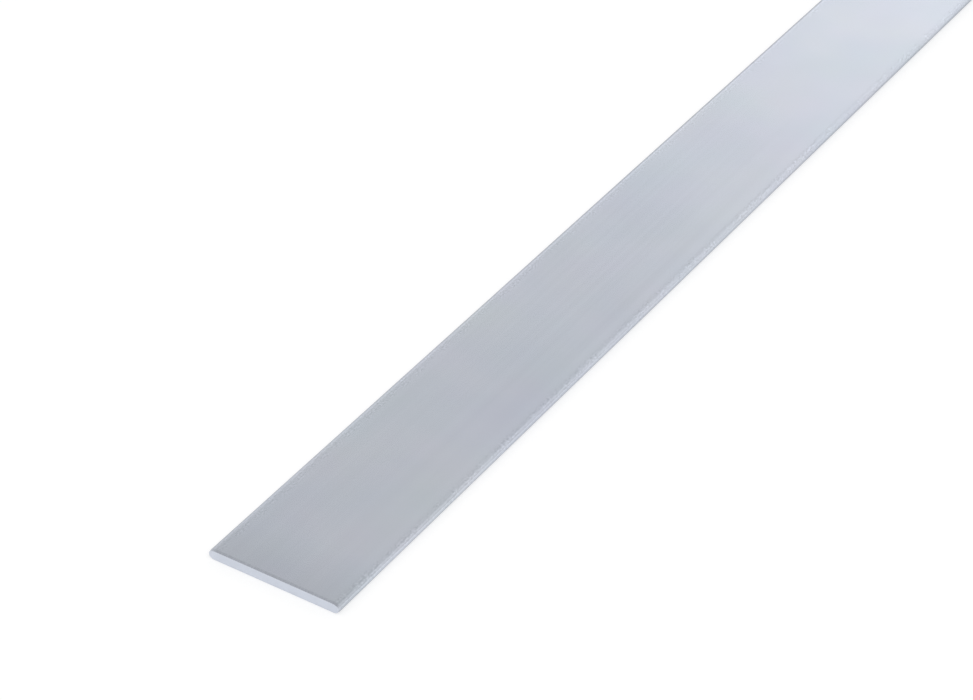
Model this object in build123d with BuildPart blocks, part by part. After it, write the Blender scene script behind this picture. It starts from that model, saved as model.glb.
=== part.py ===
"""A length of extruded aluminium flat bar, 40 x 3 mm in section and 1 m long.

The bar is one solid piece of stock. A die gives it a plain rectangular section whose
four long arrises are elliptical, so that each wide face rolls softly over into the narrow
edge, and a saw cuts it square to length. A file, held nearly flat on the faces, then
takes the burr off round each cut and leaves a shallow bevel.

Frame: the bar lies flat. X runs along its length, Y across its width and Z up, with the
origin in the middle of the face that it lies on. Sizes are in millimetres.
"""
import os

from build123d import *

# Driving dimensions
LENGTH = 1000.0  # between the two saw cuts
WIDTH = 40.0
THICKNESS = 3.0
ARRIS_WIDTH = 2.0  # of each long arris, across the wide face
ARRIS_HEIGHT = 1.2  # of each long arris, down the narrow edge
BEVEL_LENGTH = 0.85  # of the filed bevel, back along the bar from the saw cut
BEVEL_DEPTH = 0.1  # of the filed bevel, into the section at the saw cut

# The arrises have to leave a flat on every side of the bar, and the bevel that runs
# round them has to be less deep than they are.
LARGEST_ARRIS_SHARE = 0.45  # of the width or the thickness
LARGEST_BEVEL_SHARE = 0.9  # of the smaller size of an arris
arris_width = min(ARRIS_WIDTH, LARGEST_ARRIS_SHARE * WIDTH)
arris_height = min(ARRIS_HEIGHT, LARGEST_ARRIS_SHARE * THICKNESS)
bevel_depth = min(BEVEL_DEPTH, LARGEST_BEVEL_SHARE * min(arris_width, arris_height))

# The centres of the arrises, which stay where they are when the outline is filed down.
centre_across = WIDTH / 2 - arris_width
centre_low = arris_height
centre_high = THICKNESS - arris_height


def section_at(place, filed_off):
    """The die's outline at a place along the bar, less what is filed off all round."""
    arris_across = arris_width - filed_off
    arris_up = arris_height - filed_off
    arrises = (
        (centre_across, centre_high, 0),
        (-centre_across, centre_high, 90),
        (-centre_across, centre_low, 180),
        (centre_across, centre_low, 270),
    )
    with BuildSketch(Plane.YZ.offset(place)) as section:
        with BuildLine():
            for across, up, start_angle in arrises:
                EllipticalCenterArc((across, up), arris_across, arris_up, start_angle)
            for wide_face in (centre_high + arris_up, centre_low - arris_up):
                Line((-centre_across, wide_face), (centre_across, wide_face))
            for narrow_edge in (centre_across + arris_across, -centre_across - arris_across):
                Line((narrow_edge, centre_low), (narrow_edge, centre_high))
        make_face()
    return section.sketch


# The bar: the full section runs from the back of one bevel to the back of the other, and
# narrows in straight lines from there to each saw cut.
saw_cut = LENGTH / 2
bevel_back = saw_cut - BEVEL_LENGTH
with BuildPart() as flat_bar:
    loft(
        sections=[
            section_at(-saw_cut, bevel_depth),
            section_at(-bevel_back, 0),
            section_at(bevel_back, 0),
            section_at(saw_cut, bevel_depth),
        ],
        ruled=True,
    )
flat_bar.part.label = "flat_bar"

os.makedirs("parts", exist_ok=True)
export_step(flat_bar.part, "parts/flat_bar.step")
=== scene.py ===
import math

import bmesh
import bpy
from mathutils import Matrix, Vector


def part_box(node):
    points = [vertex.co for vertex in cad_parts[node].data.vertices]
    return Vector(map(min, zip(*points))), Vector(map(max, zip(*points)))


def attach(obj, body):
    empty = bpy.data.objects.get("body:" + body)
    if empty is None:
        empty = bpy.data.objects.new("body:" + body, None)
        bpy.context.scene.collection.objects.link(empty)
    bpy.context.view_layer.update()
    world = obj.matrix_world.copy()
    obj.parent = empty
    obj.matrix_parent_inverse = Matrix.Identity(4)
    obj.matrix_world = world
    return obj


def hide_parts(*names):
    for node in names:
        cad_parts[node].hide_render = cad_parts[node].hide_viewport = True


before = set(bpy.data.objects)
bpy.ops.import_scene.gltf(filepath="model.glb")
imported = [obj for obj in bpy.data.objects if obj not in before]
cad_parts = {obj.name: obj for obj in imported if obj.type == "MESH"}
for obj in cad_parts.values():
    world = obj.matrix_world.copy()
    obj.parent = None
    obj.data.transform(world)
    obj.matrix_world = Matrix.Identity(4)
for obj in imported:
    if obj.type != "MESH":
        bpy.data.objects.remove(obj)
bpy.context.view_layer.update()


# ---- Camera ------------------------------------------------------------------------
# A long lens stands on a tripod off the near end of the bar, to the right of it. It
# looks down along the bar, so that the far end runs out of the top of the picture.

CAMERA_PLACE = (-0.9577, -0.3606, 0.5054)
CAMERA_TURN = math.radians(33.0)  # from the bar's length towards its left edge
CAMERA_TILT = math.radians(36.667)  # down from the level
CAMERA_LENS = 113.9  # millimetres
CAMERA_SENSOR = 36.0  # millimetres
NEAREST_SEEN = 0.01
FARTHEST_SEEN = 200.0

camera = bpy.data.objects.new("camera", bpy.data.cameras.new("camera"))
camera.data.sensor_width = CAMERA_SENSOR
camera.data.lens = CAMERA_LENS
camera.data.clip_start = NEAREST_SEEN
camera.data.clip_end = FARTHEST_SEEN
camera.location = CAMERA_PLACE
camera.rotation_euler = (math.pi / 2 - CAMERA_TILT, 0.0, CAMERA_TURN - math.pi / 2)
bpy.context.collection.objects.link(camera)
bpy.context.scene.camera = camera


# ---- Studio floor ------------------------------------------------------------------
# A sheet of matt white card, far wider than the bar, that everything stands on. It is
# lit to a plain white, and it still takes the soft shadow that the bar throws.

FLOOR_WIDTH = 120.0
CARD_WHITE = (0.48, 0.48, 0.48, 1.0)
CARD_GLOW = 0.55  # lifts the lit card to white where a lens or a mirror looks at it


def add_node(tree, kind, sockets=None, **settings):
    """Adds a node, with its settings, and its sockets set or linked."""
    added = tree.nodes.new(kind)
    for setting, value in settings.items():
        setattr(added, setting, value)
    for socket, value in (sockets or {}).items():
        if isinstance(value, bpy.types.NodeSocket):
            tree.links.new(value, added.inputs[socket])
        else:
            added.inputs[socket].default_value = value
    return added


def reckon(tree, operation, one, other=0.0):
    """Works out one value from two, with a Math node."""
    return add_node(tree, "ShaderNodeMath", {0: one, 1: other}, operation=operation).outputs[0]


def white_card():
    material = bpy.data.materials.new("white card")
    material.use_nodes = True
    tree = material.node_tree
    tree.nodes.clear()
    ray = add_node(tree, "ShaderNodeLightPath").outputs
    looked_at = reckon(tree, "MAXIMUM", ray["Is Camera Ray"], ray["Is Glossy Ray"])
    looked_at = reckon(tree, "MAXIMUM", looked_at, ray["Is Transmission Ray"])
    strength = reckon(tree, "MULTIPLY", looked_at, CARD_GLOW)
    matt = add_node(tree, "ShaderNodeBsdfDiffuse", {"Color": CARD_WHITE}).outputs[0]
    glow = add_node(tree, "ShaderNodeEmission", {"Strength": strength}).outputs[0]
    lit = add_node(tree, "ShaderNodeAddShader", {0: matt, 1: glow}).outputs[0]
    add_node(tree, "ShaderNodeOutputMaterial", {"Surface": lit})
    return material


floor_shape = bmesh.new()
bmesh.ops.create_grid(floor_shape, x_segments=1, y_segments=1, size=FLOOR_WIDTH / 2)
floor_mesh = bpy.data.meshes.new("studio_floor")
floor_shape.to_mesh(floor_mesh)
floor_shape.free()
floor_mesh.materials.append(white_card())
floor = bpy.data.objects.new("studio_floor", floor_mesh)
bpy.context.collection.objects.link(floor)


# ---- Studio light ------------------------------------------------------------------
# White walls and a white ceiling stand all round the floor, lightest past the far end of
# the bar above a dimmer foot, and dimmest behind the camera and to the right. A grey cloth
# hangs between the bar and the far wall, and a large soft lamp is high behind the camera.

WALL_LIGHT = 0.882
# A wall's turn is from the bar's length. A direction reaches 1 towards it at most, and
# the wall's share of the light comes in between the two reaches.
WALL_AHEAD = {"turn": CAMERA_TURN, "begins": 0.139, "ends": 0.339, "share": 1.128}
FAR_WALL = {"turn": 0.0, "begins": 0.715, "ends": 0.815, "share": 1.2}
FAR_WALL_FOOT = {"turn": 0.0, "begins": 0.86, "ends": 0.96, "share": 0.8}
WALL_BEHIND = {"turn": math.radians(-120.1), "begins": -0.334, "ends": -0.133, "share": 0.897}
CLOTH_TURN = math.radians(154.8)  # from the bar's length, towards the darkest part
CLOTH_LEAN = math.radians(36.5)  # of the darkest part, from straight overhead
CLOTH_SHADES = (  # the reach towards the darkest part, and the share of the walls' light
    (0.071, 1.000),
    (0.179, 0.737),
    (0.750, 0.460),
)
CLOTH_BEGINS = 0.10  # a reach along the bar, which the cloth comes in from
CLOTH_ENDS = 0.36
OPEN_SHARE = 1.06  # of the walls' light, where there is no cloth
HALFWAY = 0.5  # where a new stop goes on a ramp of shades, before it has its own place


def ease_between(tree, value, begins, ends, first, last):
    """Goes smoothly from the first value to the last, as another value rises."""
    sockets = {"Value": value, 1: begins, 2: ends, 3: first, 4: last}
    eased = add_node(tree, "ShaderNodeMapRange", sockets, interpolation_type="SMOOTHSTEP")
    return eased.outputs["Result"]


def reach_towards(tree, turn, lean=math.pi / 2):
    """How far a direction in the room reaches towards a heading."""
    direction = add_node(tree, "ShaderNodeTexCoord").outputs["Generated"]
    heading = (math.sin(lean) * math.cos(turn), math.sin(lean) * math.sin(turn), math.cos(lean))
    sockets = {0: direction, 1: heading}
    reach = add_node(tree, "ShaderNodeVectorMath", sockets, operation="DOT_PRODUCT")
    return reach.outputs["Value"]


def wall_share(tree, turn, begins, ends, share):
    return ease_between(tree, reach_towards(tree, turn), begins, ends, 1.0, share)


def grey_cloth(tree):
    """The share of the walls' light that the cloth gives back."""
    reach_to_darkest = reach_towards(tree, CLOTH_TURN, CLOTH_LEAN)
    shades = add_node(tree, "ShaderNodeValToRGB", {"Fac": reach_to_darkest})
    shades.color_ramp.interpolation = "EASE"
    stops = shades.color_ramp.elements
    while len(stops) < len(CLOTH_SHADES):
        stops.new(HALFWAY)
    for stop, (reach, share) in zip(stops, CLOTH_SHADES):
        stop.position = reach
        stop.color = (share, share, share, 1.0)
    return shades.outputs["Color"]


def white_room():
    world = bpy.data.worlds.new("white room")
    world.use_nodes = True
    tree = world.node_tree
    tree.nodes.clear()
    along_bar = reach_towards(tree, 0.0)
    cloth = grey_cloth(tree)
    hung = ease_between(tree, along_bar, CLOTH_BEGINS, CLOTH_ENDS, OPEN_SHARE, cloth)
    strength = reckon(tree, "MULTIPLY", hung, WALL_LIGHT)
    for wall in (WALL_AHEAD, FAR_WALL, FAR_WALL_FOOT, WALL_BEHIND):
        strength = reckon(tree, "MULTIPLY", strength, wall_share(tree, **wall))
    sockets = {"Color": (1.0, 1.0, 1.0, 1.0), "Strength": strength}
    light = add_node(tree, "ShaderNodeBackground", sockets).outputs[0]
    add_node(tree, "ShaderNodeOutputWorld", {"Surface": light})
    return world


bpy.context.scene.world = white_room()

LAMP_WIDTH = 1.4
LAMP_DISTANCE = 2.4
LAMP_POWER = 11.0
LAMP_TURN = math.radians(-130.0)
LAMP_HEIGHT = math.radians(55.0)

lamp = bpy.data.objects.new("soft_lamp", bpy.data.lights.new("soft_lamp", "AREA"))
lamp.data.shape = "SQUARE"
lamp.data.size = LAMP_WIDTH
lamp.data.energy = LAMP_POWER
towards_lamp = Vector((
    math.cos(LAMP_HEIGHT) * math.cos(LAMP_TURN),
    math.cos(LAMP_HEIGHT) * math.sin(LAMP_TURN),
    math.sin(LAMP_HEIGHT),
))
lamp.location = LAMP_DISTANCE * towards_lamp
lamp.rotation_euler = towards_lamp.to_track_quat("Z", "Y").to_euler()
bpy.context.collection.objects.link(lamp)

bpy.context.scene.view_settings.view_transform = "Standard"


# ---- Flat bar ----------------------------------------------------------------------
# One length of aluminium, pressed hot through a die that leaves its long edges rounded
# and faint lines along it, then satin anodised, and rubbed along its edges in the rack.
# A saw cuts it square, and a file takes the burr off, so its ends and bevels are bare.

ARRIS_WIDTH = 0.0020  # across the wide face
ARRIS_HEIGHT = 0.0012  # down the narrow edge
ARRIS_STEPS = 12
ARRIS_PROFILE = 0.5  # a round, before the bar is drawn out sideways
BEVEL_LENGTH = 0.00085  # of the filed bevel, back along the bar from the saw cut
BEVEL_DEPTH = 0.0001  # of the filed bevel, into the section at the saw cut
RUBBED_LEAN = math.radians(15.0)  # from flat, where the rubbed part of an arris begins
SQUARE_ON = 0.9  # the least part of a sawn face's normal that points endways
LEVEL_WITHIN = 0.001  # the most of a level face's normal that points any other way

low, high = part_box("flat_bar")
size = high - low


def runs_along_bar(edge):
    return abs(edge.verts[0].co.x - edge.verts[1].co.x) > size.x / 2


def lies_across(edge):
    return abs(edge.verts[0].co.x - edge.verts[1].co.x) < BEVEL_LENGTH / 2


def faces_endways(face):
    return abs(face.normal.x) > SQUARE_ON


def leans_endways(face):
    return abs(face.normal.x) > LEVEL_WITHIN


def leans_sideways(face):
    return abs(face.normal.y) > math.sin(RUBBED_LEAN)


def rolls_over(face):
    return min(abs(face.normal.y), abs(face.normal.z)) > LEVEL_WITHIN


def bar_shape():
    """A blank with round arrises, drawn out sideways, with a bevel filed on both ends."""
    stretch = ARRIS_WIDTH / ARRIS_HEIGHT
    shape = bmesh.new()
    bmesh.ops.create_cube(shape, size=1.0)
    blank = Vector((size.x - 2 * BEVEL_LENGTH, size.y / stretch, size.z))
    bmesh.ops.scale(shape, vec=blank, verts=shape.verts)
    bmesh.ops.bevel(
        shape, geom=[edge for edge in shape.edges if runs_along_bar(edge)], affect="EDGES",
        offset=ARRIS_HEIGHT, segments=ARRIS_STEPS, profile=ARRIS_PROFILE, material=-1,
    )
    bmesh.ops.scale(shape, vec=(1.0, stretch, 1.0), verts=shape.verts)
    bmesh.ops.translate(shape, vec=(low + high) / 2, verts=shape.verts)
    shape.normal_update()
    for face in [face for face in shape.faces if faces_endways(face)]:
        bmesh.ops.inset_region(
            shape, faces=[face], thickness=BEVEL_DEPTH, depth=BEVEL_LENGTH, use_even_offset=True,
        )
    shape.normal_update()
    return shape


ANODISED, RUBBED, FILED, SAWN = range(4)  # the finishes, in the order that the mesh holds them


def finish_of(face):
    if faces_endways(face):
        return SAWN
    if leans_endways(face):
        return FILED
    if leans_sideways(face):
        return RUBBED
    return ANODISED


bar = bar_shape()
for edge in bar.edges:
    edge.smooth = not lies_across(edge)
for face in bar.faces:
    face.smooth = rolls_over(face)
    face.material_index = finish_of(face)

bar_mesh = bpy.data.meshes.new("flat_bar_metal")
bar.to_mesh(bar_mesh)
bar.free()

# What is left of a clean mirror's shine, where the metal is seen edgeways.
CLEAN_SHINE = (0.95, 0.95, 0.95, 1.0)
RUBBED_SHINE = (0.5, 0.5, 0.5, 1.0)
ROUGHNESS_STRAY = 0.08  # a share of each roughness
NOISE_LOW = 0.3  # a noise seldom goes below this, or above the next
NOISE_HIGH = 0.7

ANODISED_ALUMINIUM = (0.64, 0.675, 0.75)
ANODISED_ROUGHNESS = 0.20
FILM_CLOUD = 0.025  # the width of one patch of the film
FILM_CAST = 0.07  # how far a patch strays in colour
FILM_SHADE = 0.012  # how far a patch strays in lightness
DIE_LINE_LENGTH = 0.3
DIE_LINE_WIDTH = 0.002  # of the broadest, which has finer lines in it
DIE_LINE_DETAIL = 4.0
DIE_LINE_SHADE = 0.008
DIE_LINE_HEIGHT = 0.000001
SCUFF_LENGTH = 0.0008
SCUFF_WIDTH = 0.0005
SCUFF_SHADE = 0.10
SCUFF_HEIGHT = 0.000001
SCUFFED_LEFT_EDGE = 0.0044  # how far in the scuffs reach
SCUFFED_RIGHT_EDGE = 0.0028
SCUFF_GROUP = 0.003  # the width of one group of scuffs
GROUP_BEGINS = 0.42  # the value of the groups' noise that a group comes in from
GROUP_ENDS = 0.58
BETWEEN_GROUPS = 0.3  # how much of the scuffs is left there
DARKER_END_LENGTH = 0.018  # how far back from a saw cut the colour is made darker
END_DARKENING = 0.08

FILED_ALUMINIUM = (0.608, 0.641, 0.712)
FILED_ROUGHNESS = 0.20
FILE_STROKE_LENGTH = 0.002
FILE_STROKE_WIDTH = 0.0004
FILE_STROKE_SHADE = 0.04
FILE_STROKE_HEIGHT = 0.000002

SAWN_ALUMINIUM = (0.656, 0.692, 0.770)
SAWN_ROUGHNESS = 0.35
BLADE_CENTRE = (0.06, 0.115)  # across the bar and up, from the middle of its underside
SAW_MARK_SPACING = 0.00035
SAW_MARK_WAVER = 1.5  # how far a mark wanders off its arc, in the wave's own measure
SAW_MARK_DETAIL = 1.0
SAW_MARK_DETAIL_SCALE = 0.1
SAW_MARK_SHADE = 0.02
SAW_MARK_HEIGHT = 0.000002
SAW_SMEAR_WIDTH = 0.003


def metal(name, shine):
    """Starts a metal, and gives its node tree, its shader and its own coordinates."""
    material = bpy.data.materials.new(name)
    material.use_nodes = True
    tree = material.node_tree
    shader = tree.nodes["Principled BSDF"]
    shader.inputs["Metallic"].default_value = 1.0
    shader.inputs["Specular Tint"].default_value = shine
    place = add_node(tree, "ShaderNodeTexCoord").outputs["Object"]
    return material, tree, shader, place


def noise(tree, place, width, detail=2.0):
    """Cloudy noise whose broadest patches are so wide, in metres."""
    sockets = {"Vector": place, "Scale": 1.0 / width, "Detail": detail}
    return add_node(tree, "ShaderNodeTexNoise", sockets).outputs


def around_one(tree, value, stray):
    """A factor that strays from one, by up to so much each way, as a noise does."""
    least = reckon(tree, "SUBTRACT", 1.0, stray)
    most = reckon(tree, "ADD", 1.0, stray)
    return ease_between(tree, value, NOISE_LOW, NOISE_HIGH, least, most)


def roughened(tree, value, roughness):
    """A roughness that strays a little, as a noise does."""
    return reckon(tree, "MULTIPLY", around_one(tree, value, ROUGHNESS_STRAY), roughness)


def drawn_out(tree, place, length, width):
    """The coordinates, pressed together along the bar, so that such a noise draws out."""
    sockets = {"Vector": place, "Scale": (width / length, 1.0, 1.0)}
    return add_node(tree, "ShaderNodeMapping", sockets).outputs[0]


def shaded(tree, colour, *factors):
    """A colour, made lighter or darker by each factor in turn."""
    for factor in factors:
        sockets = {"Vector": colour, "Scale": factor}
        colour = add_node(tree, "ShaderNodeVectorMath", sockets, operation="SCALE").outputs[0]
    return colour


def dress(tree, shader, colour, roughness, height):
    """Links a colour, a roughness and a height in metres to the shader."""
    normal = add_node(tree, "ShaderNodeBump", {"Distance": 1.0, "Height": height}).outputs[0]
    sources = {"Base Color": colour, "Roughness": roughness, "Normal": normal}
    for socket, source in sources.items():
        tree.links.new(source, shader.inputs[socket])


def anodic_film(tree, place):
    """The film's colour, a little cloudy in its cast and in its lightness."""
    clouds = noise(tree, place, FILM_CLOUD)
    sockets = {0: clouds["Color"], 1: (FILM_CAST,) * 3, 2: (1.0 - FILM_CAST / 2,) * 3}
    cast = add_node(tree, "ShaderNodeVectorMath", sockets, operation="MULTIPLY_ADD").outputs[0]
    sockets = {0: cast, 1: ANODISED_ALUMINIUM}
    film = add_node(tree, "ShaderNodeVectorMath", sockets, operation="MULTIPLY").outputs[0]
    return shaded(tree, film, around_one(tree, clouds["Fac"], FILM_SHADE))


def edge_scuffs(tree, place, across):
    """The scuffs that other bars rub in the long edges, and how much shows of them."""
    # The clean band between the scuffs lies off the middle, nearer to the right edge.
    reach = (SCUFFED_LEFT_EDGE + SCUFFED_RIGHT_EDGE) / 2
    aside = reckon(tree, "ABSOLUTE", reckon(tree, "ADD", across, SCUFFED_LEFT_EDGE - reach))
    scuffed = ease_between(tree, aside, size.y / 2 - reach, size.y / 2 - reach / 2, 0.0, 1.0)
    groups = noise(tree, place, SCUFF_GROUP)["Fac"]
    grouped = ease_between(tree, groups, GROUP_BEGINS, GROUP_ENDS, BETWEEN_GROUPS, 1.0)
    scuff_place = drawn_out(tree, place, SCUFF_LENGTH, SCUFF_WIDTH)
    scuffs = noise(tree, scuff_place, SCUFF_WIDTH)["Fac"]
    return scuffs, reckon(tree, "MULTIPLY", scuffed, grouped)


def darker_towards_saw_cuts(tree, along):
    """A factor that makes the colour darker towards each saw cut."""
    from_middle = reckon(tree, "ABSOLUTE", along)
    begins = size.x / 2 - DARKER_END_LENGTH
    return ease_between(tree, from_middle, begins, size.x / 2, 1.0, 1.0 - END_DARKENING)


def satin_anodised_aluminium(name, shine):
    material, tree, shader, place = metal(name, shine)
    axes = add_node(tree, "ShaderNodeSeparateXYZ", {"Vector": place}).outputs
    line_place = drawn_out(tree, place, DIE_LINE_LENGTH, DIE_LINE_WIDTH)
    lines = noise(tree, line_place, DIE_LINE_WIDTH, DIE_LINE_DETAIL)["Fac"]
    scuffs, scuffed = edge_scuffs(tree, place, axes["Y"])
    line_shade = around_one(tree, lines, DIE_LINE_SHADE)
    scuff_shade = around_one(tree, scuffs, reckon(tree, "MULTIPLY", scuffed, SCUFF_SHADE))
    # The colour is made darker towards each saw cut.
    cut_darkening = darker_towards_saw_cuts(tree, axes["X"])
    colour = shaded(tree, anodic_film(tree, place), line_shade, scuff_shade, cut_darkening)
    roughness = roughened(tree, lines, ANODISED_ROUGHNESS)
    line_height = reckon(tree, "MULTIPLY", lines, DIE_LINE_HEIGHT)
    scuff_height = reckon(tree, "MULTIPLY", scuffs, scuffed)
    scuff_height = reckon(tree, "MULTIPLY", scuff_height, SCUFF_HEIGHT)
    dress(tree, shader, colour, roughness, reckon(tree, "ADD", line_height, scuff_height))
    return material


def filed_aluminium():
    material, tree, shader, place = metal("filed aluminium", RUBBED_SHINE)
    stroke_place = drawn_out(tree, place, FILE_STROKE_LENGTH, FILE_STROKE_WIDTH)
    strokes = noise(tree, stroke_place, FILE_STROKE_WIDTH)["Fac"]
    colour = shaded(tree, FILED_ALUMINIUM, around_one(tree, strokes, FILE_STROKE_SHADE))
    roughness = roughened(tree, strokes, FILED_ROUGHNESS)
    dress(tree, shader, colour, roughness, reckon(tree, "MULTIPLY", strokes, FILE_STROKE_HEIGHT))
    return material


def saw_marks(tree, place):
    """The arcs that a round saw blade leaves, about its own centre."""
    across, up = BLADE_CENTRE
    from_blade = {"Vector": place, "Location": (0.0, -across, -up)}
    sockets = {
        "Vector": add_node(tree, "ShaderNodeMapping", from_blade).outputs[0],
        "Scale": math.pi / 10 / SAW_MARK_SPACING,  # a ring is a tenth of pi wide at a scale of 1
        "Distortion": SAW_MARK_WAVER,
        "Detail": SAW_MARK_DETAIL,
        "Detail Scale": SAW_MARK_DETAIL_SCALE,
    }
    rings = {"wave_type": "RINGS", "rings_direction": "X"}
    return add_node(tree, "ShaderNodeTexWave", sockets, **rings).outputs["Fac"]


def sawn_aluminium():
    material, tree, shader, place = metal("sawn aluminium", RUBBED_SHINE)
    marks = saw_marks(tree, place)
    smears = noise(tree, place, SAW_SMEAR_WIDTH)["Fac"]
    mark_shade = around_one(tree, marks, SAW_MARK_SHADE)
    smear_shade = around_one(tree, smears, SAW_MARK_SHADE)
    colour = shaded(tree, SAWN_ALUMINIUM, mark_shade, smear_shade)
    roughness = roughened(tree, smears, SAWN_ROUGHNESS)
    dress(tree, shader, colour, roughness, reckon(tree, "MULTIPLY", marks, SAW_MARK_HEIGHT))
    return material


for finish in (
    satin_anodised_aluminium("satin anodised aluminium", CLEAN_SHINE),
    satin_anodised_aluminium("rubbed anodised edge", RUBBED_SHINE),
    filed_aluminium(),
    sawn_aluminium(),
):
    bar_mesh.materials.append(finish)

flat_bar = bpy.data.objects.new("flat_bar_metal", bar_mesh)
bpy.context.collection.objects.link(flat_bar)
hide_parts("flat_bar")
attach(flat_bar, "root")
